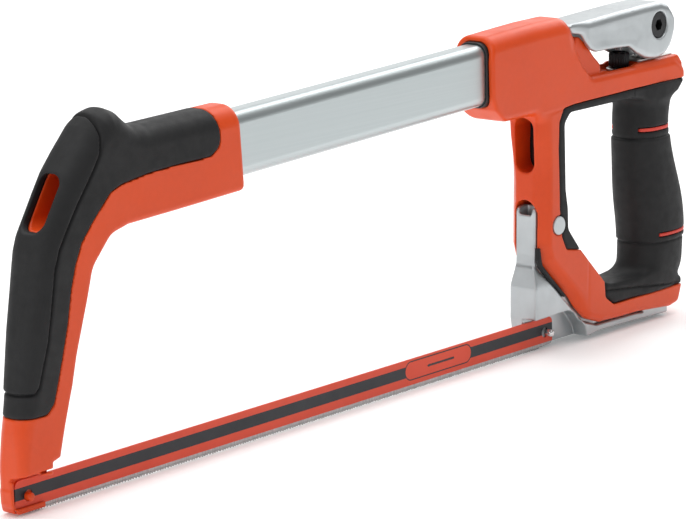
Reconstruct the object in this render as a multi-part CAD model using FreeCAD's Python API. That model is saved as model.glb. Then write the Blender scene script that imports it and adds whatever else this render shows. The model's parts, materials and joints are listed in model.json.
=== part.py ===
import FreeCAD, Part
import os, math
from FreeCAD import Vector as V

os.makedirs("parts", exist_ok=True)

# ---------------------------------------------------------------- dimensions (mm)
BLADE_SPAN = 300.0        # hole to hole of a standard 12 in hacksaw blade
BLADE_H = 12.7            # blade width, teeth down
BLADE_T = 0.65
BLADE_HOLE_R = 2.15
BLADE_PIN_R = 1.5
BLADE_PLAY = 0.6          # each pin sits this far from its hole's centre, on the tension side
TUBE_H, TUBE_W, TUBE_WALL, TUBE_R = 25.0, 13.0, 1.4, 4.5
TUBE_TILT = 2.35          # the tube climbs to the rear by this angle, degrees
TUBE_Z0 = 111.14          # tube axis height at x = 0
CAST_W = 10.0             # half width of both castings
FOOT_W = 7.0              # half width of the front foot
PIVOT = (298.2, 53.7)     # tension arm pivot (x, z)
LEVER_P = (370.4, 128.6)  # cam lever pivot (x, z)
PLATE_TOP = 114.3         # top of the wear plate
ROD_R = 3.0
ARM_W = 5.0               # half width of the arm's upper limb
RUBBER = 2.6              # over-moulded rubber thickness
# shift that puts the part's origin at the bottom centre of its box
OX, OY, OZ = 192.83, 0.0, 0.0

TAN = math.tan(math.radians(TUBE_TILT))


# ---------------------------------------------------------------- helpers
def rwire(pts, y=0.0):
    """closed XZ outline with a corner radius per point (x, z[, r])"""
    n = len(pts)
    P = [V(p[0], y, p[1]) for p in pts]
    R = [p[2] if len(p) > 2 else 0.0 for p in pts]
    ins, outs, mids = [], [], []
    for i in range(n):
        a, b, c = P[i - 1], P[i], P[(i + 1) % n]
        u = (a - b); v = (c - b)
        lu, lv = u.Length, v.Length
        u = u * (1.0 / lu); v = v * (1.0 / lv)
        if R[i] <= 0:
            ins.append(b); outs.append(b); mids.append(None); continue
        ang = math.acos(max(-1, min(1, u.dot(v))))
        t = R[i] / math.tan(ang / 2.0)
        t = min(t, 0.48 * lu, 0.48 * lv)
        r = t * math.tan(ang / 2.0)
        bis = (u + v); bis = bis * (1.0 / bis.Length)
        cen = b + bis * (r / math.sin(ang / 2.0))
        ins.append(b + u * t); outs.append(b + v * t)
        mids.append(cen - bis * r)
    E = []
    for i in range(n):
        if mids[i] is not None:
            E.append(Part.Arc(ins[i], mids[i], outs[i]).toShape())
        j = (i + 1) % n
        if (outs[i] - ins[j]).Length > 1e-6:
            E.append(Part.LineSegment(outs[i], ins[j]).toShape())
    return Part.Wire(Part.__sortEdges__(E))


def plate(pts, y0, y1):
    return Part.Face(rwire(pts, y0)).extrude(V(0, y1 - y0, 0))


def box(x0, x1, y0, y1, z0, z1):
    return Part.makeBox(x1 - x0, y1 - y0, z1 - z0, V(x0, y0, z0))


def cyl(p, d, r, h):
    return Part.makeCylinder(r, h, V(*p), V(*d))


def ycyl(x, z, r, y0, y1):
    return Part.makeCylinder(r, y1 - y0, V(x, y0, z), V(0, 1, 0))


def soften(shape, pick, radii):
    """fillet the picked edges with the first radius that gives a valid solid"""
    edges = [e for e in shape.Edges if pick(e)]
    for r in radii:
        try:
            s = shape.makeFillet(r, edges)
            if s.isValid() and s.Volume > 0 and abs(s.Volume - shape.Volume) < 0.2 * shape.Volume:
                return s
        except Exception:
            pass
    print("  soften skipped on %d edges" % len(edges))
    return shape


def on_sides(w, tol=0.01):
    def pick(e):
        return all(abs(abs(v.Point.y) - w) < tol for v in e.Vertexes) and \
            len(e.Vertexes) == 2 and (e.Vertexes[0].Point.y * e.Vertexes[1].Point.y) > 0
    return pick


def tube_z(x):
    return TUBE_Z0 + TAN * x


def tube_block(h, w, r, x0, x1):
    """rounded bar on the tube's inclined axis from x0 to x1"""
    y, z = w / 2.0, h / 2.0
    a = V(0, 0, 0)
    pts = [(-y, -z), (y, -z), (y, z), (-y, z)]
    E = []
    k = r * (1 - math.sqrt(0.5))
    for sx, sz in ((1, 1), (-1, 1), (-1, -1), (1, -1)):
        pass
    e = [Part.LineSegment(V(0, -y + r, -z), V(0, y - r, -z)).toShape(),
         Part.Arc(V(0, y - r, -z), V(0, y - k, -z + k), V(0, y, -z + r)).toShape(),
         Part.LineSegment(V(0, y, -z + r), V(0, y, z - r)).toShape(),
         Part.Arc(V(0, y, z - r), V(0, y - k, z - k), V(0, y - r, z)).toShape(),
         Part.LineSegment(V(0, y - r, z), V(0, -y + r, z)).toShape(),
         Part.Arc(V(0, -y + r, z), V(0, -y + k, z - k), V(0, -y, z - r)).toShape(),
         Part.LineSegment(V(0, -y, z - r), V(0, -y, -z + r)).toShape(),
         Part.Arc(V(0, -y, -z + r), V(0, -y + k, -z + k), V(0, -y + r, -z)).toShape()]
    L = (x1 - x0) / math.cos(math.radians(TUBE_TILT))
    s = Part.Face(Part.Wire(e)).extrude(V(L, 0, 0))
    s.rotate(V(0, 0, 0), V(0, 1, 0), -TUBE_TILT)
    s.translate(V(x0, 0, tube_z(x0)))
    return s


NODES = {}


def put(name, shape):
    s = shape.copy()
    s.translate(V(-OX, -OY, -OZ))
    if not s.isValid():
        s.fix(1e-4, 1e-4, 1e-3)
    NODES[name] = s


# ---------------------------------------------------------------- frame tube
TX0, TX1 = 34.0, 303.0
tube = tube_block(TUBE_H, TUBE_W, TUBE_R, TX0, TX1).cut(
    tube_block(TUBE_H - 2 * TUBE_WALL, TUBE_W - 2 * TUBE_WALL, TUBE_R - TUBE_WALL, TX0 - 3, TX1 + 3))

# ---------------------------------------------------------------- front casting and its rubber
front_out = [(-5.6, 3.6, 3), (7.6, 3.6, 1.0), (8.0, 17.6), (11.6, 18.6, 1.0), (12.8, 23.1, 4),
             (18.3, 43.7), (20.3, 54.5), (23.0, 64.8), (25.8, 75.1), (28.2, 84.6, 10), (37.8, 94.8, 8),
             (46.7, 96.9), (72.5, 97.9), (102.5, 99.1, 3), (107.9, 103.0, 1.5), (106.0, 131.8, 5),
             (80.0, 131.0), (60.0, 130.4, 3), (54.5, 131.0, 3), (49.4, 136.8, 3), (44.0, 138.6, 4),
             (37.0, 138.0, 5), (31.5, 133.5), (25.0, 127.0), (18.4, 119.0), (14.3, 112.6),
             (10.3, 106.1), (5.6, 98.5, 12), (3.7, 93.0), (1.2, 79.0), (-1.6, 65.5), (-4.0, 51.6),
             (-6.3, 37.6), (-7.2, 30.0), (-8.0, 16.0), (-7.2, 8.5, 5)]


def taper(extra):
    w0, w1 = FOOT_W - extra, CAST_W - extra
    pts = [V(-60, -w0, -5), V(-60, w0, -5), V(-60, w0, 25), V(-60, w1, 88), V(-60, w1, 150),
           V(-60, -w1, 150), V(-60, -w1, 88), V(-60, -w0, 25), V(-60, -w0, -5)]
    return Part.Face(Part.makePolygon(pts)).extrude(V(240, 0, 0))


def inset(pts, d):
    """rough inward offset of an XZ outline"""
    w = rwire(pts, 0)
    f = Part.Face(w)
    o = f.makeOffset2D(-d)
    return o


front_body = plate(front_out, -20, 20).common(taper(0.0))
front_body = soften(front_body, lambda e: len(e.Vertexes) == 2 and abs(e.Vertexes[0].Point.y) > 6.5
                    and abs(e.Vertexes[1].Point.y) > 6.5
                    and e.Vertexes[0].Point.y * e.Vertexes[1].Point.y > 0
                    and max(v.Point.x - 0.62 * v.Point.z for v in e.Vertexes) < 2.5
                    and min(v.Point.z for v in e.Vertexes) > 3.0, (4.5, 3.5, 2.5, 1.5))
core_face = inset(front_out, RUBBER)
core = core_face.extrude(V(0, 60, 0)); core.translate(V(0, -30, 0))
core = core.common(taper(RUBBER))
rub_zone = plate([(-30, 35.6, 0), (5.0, 35.6, 3), (8.4, 39.0), (9.8, 44), (12.2, 54.2), (14.8, 66.3),
                  (16.6, 78.7), (19.0, 87.2), (22.4, 94.5), (27.6, 100.4), (32.9, 105.6), (37.5, 110),
                  (43.0, 112.0, 6), (57.0, 113.8), (72.8, 114.6), (89.5, 114.8, 5), (95.2, 118.3, 5),
                  (94.5, 125.0), (88.0, 150), (-30, 150)], -30, 30)
tube_room = tube_block(TUBE_H + 0.1, TUBE_W + 0.1, TUBE_R, TX0, 140)
slot_w, slot_lo, slot_hi = 4.9, -11.6, 6.6     # storage mouth, measured from the tube's axis
mouth = tube_block(slot_hi - slot_lo, 2 * slot_w, 3.5, -20, TX0 + 2)
mouth.translate(V(0, 0, (slot_hi + slot_lo) / 2.0))
front_grip = front_body.common(rub_zone).cut(core).cut(mouth)
front_cast = front_body.cut(front_body.common(rub_zone).cut(core)).cut(tube_room).cut(mouth)
# blade pocket in the near side of the foot, open to the rear, the front and below, with a thin lip
pocket = box(-12, 30, -5.2, 0.36, 3.0, 14.6).fuse(box(-12, 30, -12, 0.36, 5.2, 14.6))
pocket = pocket.cut(box(-12, -6.6, -12, 12, -2, 20))
front_cast = front_cast.cut(pocket)
# lightening pocket on the far side of the leg
front_cast = front_cast.cut(ycyl(0, 6.35, BLADE_PIN_R, -1, 6))
fs = []
for x in (62.0, 86.0):
    z = tube_z(x) - 5.0
    s = ycyl(x, z, 2.0, 5.15, 9.9).fuse(
        Part.makeCone(2.0, 3.9, 1.9, V(x, 8.0, z), V(0, 1, 0))).removeSplitter()
    hexs = ycyl(x, z, 1.3, 8.3, 12)
    fs.append(s.cut(hexs))
    cutter = ycyl(x, z, 2.0, 3.0, 12).fuse(Part.makeCone(2.0, 4.0, 2.0, V(x, 8.0, z), V(0, 1, 0)))
    front_cast = front_cast.cut(cutter)
    tube = tube.cut(ycyl(x, z, 2.0, 3.0, 12))
front_cast = max(front_cast.Solids, key=lambda q: q.Volume)
put("front_casting", front_cast)
put("front_grip", front_grip)
put("front_blade_pin", ycyl(0, 6.35, BLADE_PIN_R, -2.9, 6.0))
put("front_tube_screws", Part.makeCompound(fs))

# ---------------------------------------------------------------- blade
bx0 = BLADE_PLAY
blade_out = [(bx0 - 6.6, 0.0, 2.2), (bx0 - 6.6, BLADE_H, 2.6), (bx0 + BLADE_SPAN + 5.0, BLADE_H, 2.6),
             (bx0 + BLADE_SPAN + 5.0, 0.0, 2.2)]
blade = plate(blade_out, -BLADE_T / 2, BLADE_T / 2)
for x in (bx0, bx0 + BLADE_SPAN):
    blade = blade.cut(ycyl(x, 6.35, BLADE_HOLE_R, -3, 3))
put("blade", blade)
REAR_PIN_X = bx0 + BLADE_SPAN + BLADE_PLAY

# ---------------------------------------------------------------- rear casting
rear_out = [(256.0, 110.5, 1.0), (258.5, 106.6, 2.0), (265.2, 102.6, 3.0), (284.5, 101.8, 3.0),
            (287.6, 98.0, 3.0), (288.2, 76.0), (287.8, 60.0), (287.6, 46.0, 5), (292.6, 36.2, 5),
            (309.4, 20.2), (322.0, 9.4, 6), (330.0, 6.3), (355.3, 6.0), (379.0, 3.9, 3), (385.0, 5.0, 3),
            (387.6, 12.0), (387.6, 24.0, 6), (386.6, 30.0), (386.6, 96.0), (390.5, 103.6, 0.8), (390.6, 107.5, 4),
            (383.0, 112.9, 6), (352.0, 112.9), (320.5, 112.9, 5), (313.6, 118.5, 5), (311.0, 125.4),
            (308.2, 132.5, 4), (307.2, 139.5, 5), (288.0, 138.9), (268.0, 138.2, 6), (257.2, 136.8, 2.5),
            (255.4, 128.0)]
hand_orange = [(299.3, 60.0), (298.8, 86.0), (299.4, 97.0, 3), (302.4, 102.2, 3), (310.0, 103.0),
               (355.0, 103.7), (396.0, 103.7), (396.0, 12.8), (337.0, 12.8, 3), (330.8, 17.0, 3),
               (330.2, 24.0), (313.5, 40.8), (303.6, 42.6, 1.5), (300.6, 48.5)]
hand_open = [(305.0, 60.0, 3), (303.6, 68.0), (303.2, 95.8, 3.6), (307.2, 99.8, 3.6), (352.0, 99.8, 5), (359.0, 90.0, 20),
             (360.0, 72.0, 40), (361.3, 56.0, 40), (363.6, 38.0, 20), (364.0, 27.0, 8), (358.0, 24.2, 4),
             (331.0, 24.2, 1.0), (313.2, 41.2), (305.2, 51.0, 4)]
cast = plate(rear_out, -CAST_W, CAST_W)
cast = soften(cast, lambda e: on_sides(CAST_W)(e) and max(v.Point.x for v in e.Vertexes) < 316
              and min(v.Point.z for v in e.Vertexes) > 104, (6.0, 5.0, 4.0, 3.0, 2.0))
cast = soften(cast, lambda e: on_sides(CAST_W)(e) and max(v.Point.z for v in e.Vertexes) < 103
              and max(v.Point.x for v in e.Vertexes) < 330, (3.0, 2.4, 1.8, 1.2))
hand_room = plate(hand_orange, -20, 20)
# column inside the grip, part of the casting
column = plate([(361.6, 8.0), (361.2, 40.0), (360.2, 104.5), (381.6, 104.5), (383.8, 60.0),
                (384.4, 8.0)], -7.0, 7.0)
column = soften(column, lambda e: on_sides(7.0)(e), (3.0, 2.0))
cast = cast.cut(hand_room.cut(column))
# socket for the tube and its sleeve
sleeve_out = tube_block(TUBE_H + 2.6, TUBE_W + 2.6, TUBE_R + 1.3, 250.0, TX1)
cast = cast.cut(tube_block(TUBE_H + 2.6, TUBE_W + 2.6, TUBE_R + 1.3, 240.0, TX1 + 0.0))
sleeve = tube_block(TUBE_H + 2.6, TUBE_W + 2.6, TUBE_R + 1.3, 256.4, TX1).cut(
    tube_block(TUBE_H, TUBE_W, TUBE_R, 240.0, TX1 + 5))
# rear of the hump: a nose pocket each side of the middle ramp
ramp = plate([(306.0, 130.6), (314.6, 129.4), (320.5, 127.0), (326.5, 121.6), (334.0, 115.0),
              (337.0, 112.0), (306.0, 112.0)], -5.6, 5.6)
cast = cast.fuse(ramp).removeSplitter()
# pocket in the post's front face
cast = cast.cut(plate([(280.0, 99.6, 0.5), (296.0, 98.2, 2.0), (296.0, 76.5, 5.0), (280.0, 76.5, 0.5)],
                      -4.8, 4.8).cut(box(270, 287.0, -20, 20, 60, 100)))
# cavity for the tension arm: narrow between the cheeks, and the arch in the post's front face
arm_room = plate([(270.0, 20.0), (270.0, 64.5), (293.0, 66.5, 3), (304.0, 62.6, 6), (304.0, 45.5, 2),
                  (319.6, 27.0, 2), (331.5, 14.5), (331.5, -5.0), (300.0, -5.0), (270.0, 10.0)],
                 -ARM_W - 0.5, ARM_W + 0.5)
cast = cast.cut(arm_room)
rail_room = plate([(325.0, -5.0), (325.0, 10.2, 1), (384.0, 9.6, 1), (384.0, -5.0)], -5.6, 5.6)
boss_room = box(361.5, 383.4, -7.2, 7.2, -5, 12.4)
cast = cast.cut(rail_room).cut(boss_room)
# rod bore through rail and column, adjuster thread hole, plate seat, pivot bores
cast = cast.cut(cyl((LEVER_P[0], 0, -5), (0, 0, 1), 4.2, 140))
ADJ_X = 354.4
cast = cast.cut(cyl((ADJ_X, 0, 104.6), (0, 0, 1), 2.55, 20))
cast = cast.cut(ycyl(PIVOT[0], PIVOT[1], 2.5, -15, 15))
cast = cast.cut(ycyl(PIVOT[0], PIVOT[1], 4.1, -15, -9.2)).cut(ycyl(PIVOT[0], PIVOT[1], 4.1, 9.2, 15))
plate_seat = box(361.0, 386.0, -6.0, 6.0, 112.4, 118)
cast = cast.cut(plate_seat)
hs = []
for x in (272.0, 294.0):
    z = tube_z(x)
    s = ycyl(x, z, 2.0, 5.15, 9.9).fuse(
        Part.makeCone(2.0, 3.9, 1.9, V(x, 8.0, z), V(0, 1, 0))).removeSplitter()
    hs.append(s.cut(ycyl(x, z, 1.3, 8.3, 12)))
    cutter = ycyl(x, z, 2.0, 3.0, 12).fuse(Part.makeCone(2.0, 4.0, 2.0, V(x, 8.0, z), V(0, 1, 0)))
    cast = cast.cut(cutter)
    tube = tube.cut(ycyl(x, z, 2.0, 3.0, 12))
    sleeve = sleeve.cut(ycyl(x, z, 2.0, 3.0, 12))
put("frame_tube", tube)
put("collar_sleeve", sleeve)
put("handle_tube_screws", Part.makeCompound(hs))

# ---------------------------------------------------------------- rubber round the hand opening
ring = plate(hand_orange, -CAST_W - 0.1, CAST_W + 0.1).cut(plate(hand_open, -20, 20))
liner = ring.common(box(290, 352.0, -20, 20, 30, 110)).cut(box(320, 352, -20, 20, 30, 95))
grip_zone = hand_room.common(box(352.0, 400, -CAST_W - 0.1, CAST_W + 0.1, 30, 110))
# grip: stack of oval sections lofted between the two flanges
SEC = [(12.8, 367.5, 19.4, 10.0), (20.0, 374.0, 16.4, 10.6), (28.0, 377.0, 16.2, 12.0), (40.0, 376.7, 16.8, 12.6),
       (54.0, 374.6, 16.6, 12.6), (68.0, 371.8, 14.6, 12.0), (80.0, 370.0, 13.2, 11.6), (90.0, 370.0, 13.6, 11.2),
       (98.0, 371.6, 15.4, 10.6), (103.7, 373.0, 17.2, 10.0)]


def oval(z, xc, a, b, n=40, p=2.3):
    pts = []
    for i in range(n):
        t = 2 * math.pi * i / n
        ct, st = math.cos(t), math.sin(t)
        pts.append(V(xc + a * math.copysign(abs(ct) ** (2 / p), ct), b * math.copysign(abs(st) ** (2 / p), st), z))
    bs = Part.BSplineCurve()
    bs.interpolate(pts, PeriodicFlag=True)
    return Part.Wire([bs.toShape()])


grip = Part.makeLoft([oval(*s) for s in SEC], True, False)
top_flange = plate([(352.3, 99.8), (352.3, 103.68), (388.5, 103.68), (388.0, 101.5, 2), (384.5, 98.5)], -9.9, 9.9)
bot_flange = plate([(330.9, 17.2, 1), (330.4, 24.0, 1), (360.0, 24.0), (388.4, 22.0), (388.4, 12.82), (337.2, 12.82, 3)],
                   -9.9, 9.9)
grip = grip.fuse([top_flange, bot_flange])
grip = grip.common(box(320, 400, -20, 20, 12.82, 103.68))
grip = grip.cut(column).cut(cyl((LEVER_P[0], 0, -5), (0, 0, 1), 4.2, 140))
put("handle_grip", grip)
liner = liner.cut(grip).cut(arm_room).cut(ycyl(PIVOT[0], PIVOT[1], 2.5, -15, 15))
liner = liner.cut(ycyl(PIVOT[0], PIVOT[1], 4.1, -15, -9.2)).cut(ycyl(PIVOT[0], PIVOT[1], 4.1, 9.2, 15))
liner = max(liner.Solids, key=lambda q: q.Volume)
put("hand_opening_liner", liner)
core_oval = Part.makeLoft([oval(q[0], q[1], q[2] - 1.3, q[3] - 1.3) for q in SEC], True, False)
inl = []
for z0, z1 in ((82.8, 84.6), (35.6, 37.4)):
    for y0, y1 in ((-20, -3), (3, 20)):
        band = grip.common(box(362.5 if z0 > 60 else 370.0, 400.0, y0, y1, z0, z1)).cut(core_oval)
        inl += [q for q in band.Solids if q.Volume > 8.0]
inlays = Part.makeCompound(inl)

# ---------------------------------------------------------------- tension arm
arm_in = plate([(286.2, 24.0), (288.2, 42.0), (288.4, 61.4, 1.2), (293.5, 63.6, 3), (301.0, 60.6, 5),
                (303.3, 54.0, 6), (303.0, 45.0, 2), (317.4, 25.6, 2), (330.0, 13.0, 3), (330.0, 4.2), (300.0, 4.0)],
               -ARM_W, ARM_W)
arm_lo = plate([(285.4, 14.6), (285.2, 28.0, 4), (287.6, 37.0, 6), (289.4, 36.0, 2), (306.2, 20.0), (319.2, 8.2, 6),
                (328.0, 5.3), (355.4, 4.9), (379.4, 2.9, 2), (380.0, 0.9, 0.8), (330.4, 2.2, 3), (324.0, 1.4, 2),
                (294.0, 1.6, 3), (288.0, 3.0, 2)], -FOOT_W, FOOT_W)
foot_in = plate([(326.0, 3.0), (326.0, 9.0, 1), (356.0, 8.6), (381.0, 8.0, 1), (381.0, 2.2)], -5.0, 5.0)
boss = plate([(363.4, 2.4), (363.4, 11.0, 2), (379.6, 11.0, 2), (380.0, 2.4)], -6.6, 6.6)
arm = arm_in.fuse([arm_lo, foot_in, boss]).removeSplitter()
# recessed face that the blade lies on
recess = plate([(280.0, -3.0), (280.0, 14.6), (306.0, 14.9, 2), (312.5, 12.0, 5), (318.0, 5.0, 5), (321.0, -3.0)],
               -20, 0.36)
arm = arm.cut(recess)
# hollow between the limb's two flanges, behind the front web
arm = arm.cut(box(289.9, 294.0, -3.2, 3.2, 57.5, 70))
arm = arm.cut(ycyl(PIVOT[0], PIVOT[1], 3.7, -12, 12))
arm = arm.cut(ycyl(REAR_PIN_X, 6.35, BLADE_PIN_R, -3, 5.0))
nut_r = 3.5
nut_z = 6.4
slot = plate([(LEVER_P[0] - nut_r - 0.15, nut_z - nut_r - 0.15, 3.4), (LEVER_P[0] - nut_r - 0.15, nut_z + nut_r + 0.15, 3.4),
              (LEVER_P[0] + nut_r + 1.5, nut_z + nut_r + 0.15, 3.4), (LEVER_P[0] + nut_r + 1.5, nut_z - nut_r - 0.15, 3.4)],
             -12, 12)
arm = arm.cut(slot)
arm = arm.cut(cyl((LEVER_P[0], 0, nut_z), (0, 0, 1), ROD_R + 0.3, 20)).cut(
    cyl((LEVER_P[0] + 1.4, 0, nut_z), (0, 0, 1), ROD_R + 0.3, 20)).cut(
    box(LEVER_P[0], LEVER_P[0] + 1.4, -ROD_R - 0.3, ROD_R + 0.3, nut_z, 20))
put("tension_arm", arm)
put("rear_blade_pin", ycyl(REAR_PIN_X, 6.35, BLADE_PIN_R, -4.2, 5.0))
bush = ycyl(PIVOT[0], PIVOT[1], 3.7, -ARM_W, ARM_W).cut(ycyl(PIVOT[0], PIVOT[1], 2.55, -12, 12))
put("arm_pivot_bush", bush)
ps = ycyl(PIVOT[0], PIVOT[1], 3.9, 9.2, 10.3).fuse(ycyl(PIVOT[0], PIVOT[1], 1.2, 3.0, 9.3)).removeSplitter()
ps = ps.cut(box(PIVOT[0] - 3.2, PIVOT[0] + 3.2, 9.7, 12, PIVOT[1] - 0.5, PIVOT[1] + 0.5))
pin2 = ycyl(PIVOT[0], PIVOT[1], 2.5, -9.6, 9.2).fuse(ycyl(PIVOT[0], PIVOT[1], 3.9, -10.5, -9.2)).removeSplitter()
pin2 = soften(pin2, lambda e: abs(e.BoundBox.YMin + 10.5) < 0.01 and abs(e.BoundBox.YMax + 10.5) < 0.01, (0.4, 0.3))
put("arm_pivot_pin", pin2.cut(ycyl(PIVOT[0], PIVOT[1], 1.2, 3.0, 9.3)))
put("pivot_pin_screw", ps)
# washers either side of the arm between the cheeks
wsh = []
for s0, s1 in ((-ARM_W - 0.45, -ARM_W - 0.05), (ARM_W + 0.05, ARM_W + 0.45)):
    wsh.append(ycyl(PIVOT[0], PIVOT[1], 4.8, s0, s1).cut(ycyl(PIVOT[0], PIVOT[1], 2.55, s0 - 1, s1 + 1)))
put("pivot_washers", Part.makeCompound(wsh))
# black bumper strip seated on the strut's front edge, on the side the blade is fitted from
bump_full = plate([(287.0, 47.0), (289.6, 47.0), (289.8, 43.2, 4), (306.4, 26.0), (304.4, 23.4), (287.2, 39.5, 3)],
                  -8.6, 8.6)
bump_full = bump_full.common(box(270, 330, -20, 0, 0, 80))
bump = bump_full.cut(box(270, 330, -ARM_W - 0.5, ARM_W + 0.5, 0, 80))
cast = cast.cut(bump)
bump = bump.cut(plate([(280, 30), (289.2, 36.6), (289.6, 36.4), (306.4, 20.4), (300, 10), (280, 10)], -20, 20))
put("arm_bumpers", bump)

# ---------------------------------------------------------------- tension rod and barrel nut
rod = cyl((LEVER_P[0], 0, nut_z - 1.9), (0, 0, 1), ROD_R, LEVER_P[1] - nut_z + 1.9 - 4.5)
eye = ycyl(LEVER_P[0], LEVER_P[1], 6.6, -4.0, 4.0)
rod = rod.fuse(eye).removeSplitter().cut(ycyl(LEVER_P[0], LEVER_P[1], 4.05, -9, 9))
put("tension_rod", rod)
nut = ycyl(LEVER_P[0], nut_z, nut_r, -6.2, 6.2).cut(cyl((LEVER_P[0], 0, -5), (0, 0, 1), ROD_R, 20))
put("rod_barrel_nut", nut)
# guide bush for the rod in the rail, black
gb = cyl((LEVER_P[0], 0, 105.0), (0, 0, 1), 4.2, 7.2).cut(cyl((LEVER_P[0], 0, 100), (0, 0, 1), ROD_R + 0.06, 20))
put("rod_guide_bush", gb)

# ---------------------------------------------------------------- cam lever
lev_out = [(309.8, 134.6, 1.0), (312.4, 131.2, 2.0), (316.9, 129.0, 2.0), (319.2, 126.2, 2), (322.4, 123.6, 2),
           (327.3, 122.5, 3), (338.0, 122.5), (349.0, 121.9, 3), (355.0, 118.2, 3), (361.0, 115.5),
           (364.5, 114.75), (367.5, 114.37), (370.4, 114.36), (373.6, 114.95), (376.6, 116.3), (379.3, 118.6),
           (381.2, 121.8), (382.2, 125.5), (382.2, 129.4), (380.9, 133.0, 1), (377.8, 135.8, 2), (372.5, 137.2, 2),
           (360.0, 137.0), (340.0, 136.5), (322.0, 135.8), (312.0, 135.6, 2)]
lever = plate(lev_out, -CAST_W, CAST_W)
lever = soften(lever, lambda e: on_sides(CAST_W)(e), (2.5, 2.0, 1.5, 1.0, 0.6))
chan = plate([(313.8, 110.0), (313.8, 131.4), (318.0, 132.6, 1), (362.6, 133.4, 3), (362.6, 110.0)], -7.4, 7.4)
fork_room = ycyl(LEVER_P[0], LEVER_P[1], 7.4, -4.3, 4.3)
fork = box(360.0, 400.0, -4.3, 4.3, 100.0, 128.6).fuse(fork_room).fuse(
    plate([(LEVER_P[0], 128.0), (LEVER_P[0], 136.0), (400.0, 136.0), (400.0, 128.0)], -4.3, 4.3).cut(
        box(300, LEVER_P[0] + 40, -9, 9, LEVER_P[1] + 6.0, 150)))
lever = lever.cut(chan).cut(fork)
lever = lever.cut(ycyl(LEVER_P[0], LEVER_P[1], 4.0, -12, 12))
lever = lever.cut(ycyl(LEVER_P[0], LEVER_P[1], 5.6, -12, -8.0)).cut(ycyl(LEVER_P[0], LEVER_P[1], 5.6, 8.0, 12))
put("cam_lever", lever)
lp = ycyl(LEVER_P[0], LEVER_P[1], 4.0, -8.0, 7.9).fuse(ycyl(LEVER_P[0], LEVER_P[1], 5.3, -9.4, -8.0)).removeSplitter()
hexw = Part.makePolygon([V(LEVER_P[0] + 2.6 * math.cos(math.radians(60 * i)), -12,
                           LEVER_P[1] + 2.6 * math.sin(math.radians(60 * i))) for i in range(7)])
lp = lp.cut(Part.Face(hexw).extrude(V(0, 5.6, 0)))
lp = lp.cut(ycyl(LEVER_P[0], LEVER_P[1], 2.0, 2.0, 10.0))
put("lever_pivot_pin", lp)
ls = ycyl(LEVER_P[0], LEVER_P[1], 5.3, 8.0, 9.4).fuse(ycyl(LEVER_P[0], LEVER_P[1], 2.0, 2.0, 8.2)).removeSplitter()
hexw2 = Part.makePolygon([V(LEVER_P[0] + 1.8 * math.cos(math.radians(60 * i)), 12,
                            LEVER_P[1] + 1.8 * math.sin(math.radians(60 * i))) for i in range(7)])
ls = ls.cut(Part.Face(hexw2).extrude(V(0, -4.4, 0)))
put("lever_pin_screw", ls)

# ---------------------------------------------------------------- wear plate and stop screw
wp = box(361.0, 386.0, -6.0, 6.0, 112.4, PLATE_TOP)
wp = soften(wp, lambda e: abs(e.Vertexes[0].Point.z - e.Vertexes[-1].Point.z) > 1.5, (2.0, 1.0))
cast = cast.fuse(box(361.0, 386.0, -6.0, 6.0, 112.4, 112.9).cut(wp).common(plate(rear_out, -CAST_W, CAST_W)))
wp = wp.cut(cyl((LEVER_P[0], 0, 100), (0, 0, 1), 4.2, 20))
wr = []
for x in (364.0, 381.5):
    wr.append(cyl((x, 0, 107.5), (0, 0, 1), 1.2, 6.3).fuse(Part.makeCone(1.2, 2.1, 0.9, V(x, 0, 113.2), V(0, 0, 1))))
for x in (364.0, 381.5):
    hole = cyl((x, 0, 107.5), (0, 0, 1), 1.2, 10).fuse(Part.makeCone(1.2, 2.3, 1.1, V(x, 0, 113.2), V(0, 0, 1)))
    wp = wp.cut(hole)
    cast = cast.cut(hole)
put("wear_plate", wp)
put("wear_plate_screws", Part.makeCompound(wr))
cast = cast.cut(box(334.0, 360.2, -6.4, 6.4, 110.7, 118.0))
adj = cyl((ADJ_X, 0, 111.0), (0, 0, 1), 5.2, 5.2).fuse(cyl((ADJ_X, 0, 105.4), (0, 0, 1), 2.5, 6))
for i in range(24):
    a = math.radians(15 * i)
    adj = adj.cut(cyl((ADJ_X + 5.35 * math.cos(a), 5.35 * math.sin(a), 109.0), (0, 0, 1), 0.45, 10))
put("adjuster_screw", adj)
put("grip_inlays", inlays)
put("handle_grip", grip.cut(inlays))
put("handle_casting", cast)

for name, s in NODES.items():
    s.exportStep("parts/%s.step" % name)
    bb = s.BoundBox
    print("%-22s solids %d valid %s vol %9.1f  x %7.1f %7.1f y %6.1f %6.1f z %6.1f %6.1f" % (
        name, len(s.Solids), s.isValid(), s.Volume, bb.XMin, bb.XMax, bb.YMin, bb.YMax, bb.ZMin, bb.ZMax))
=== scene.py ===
import bpy
import json
import math
from itertools import product
import numpy as np
from mathutils import Vector, Matrix

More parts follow.
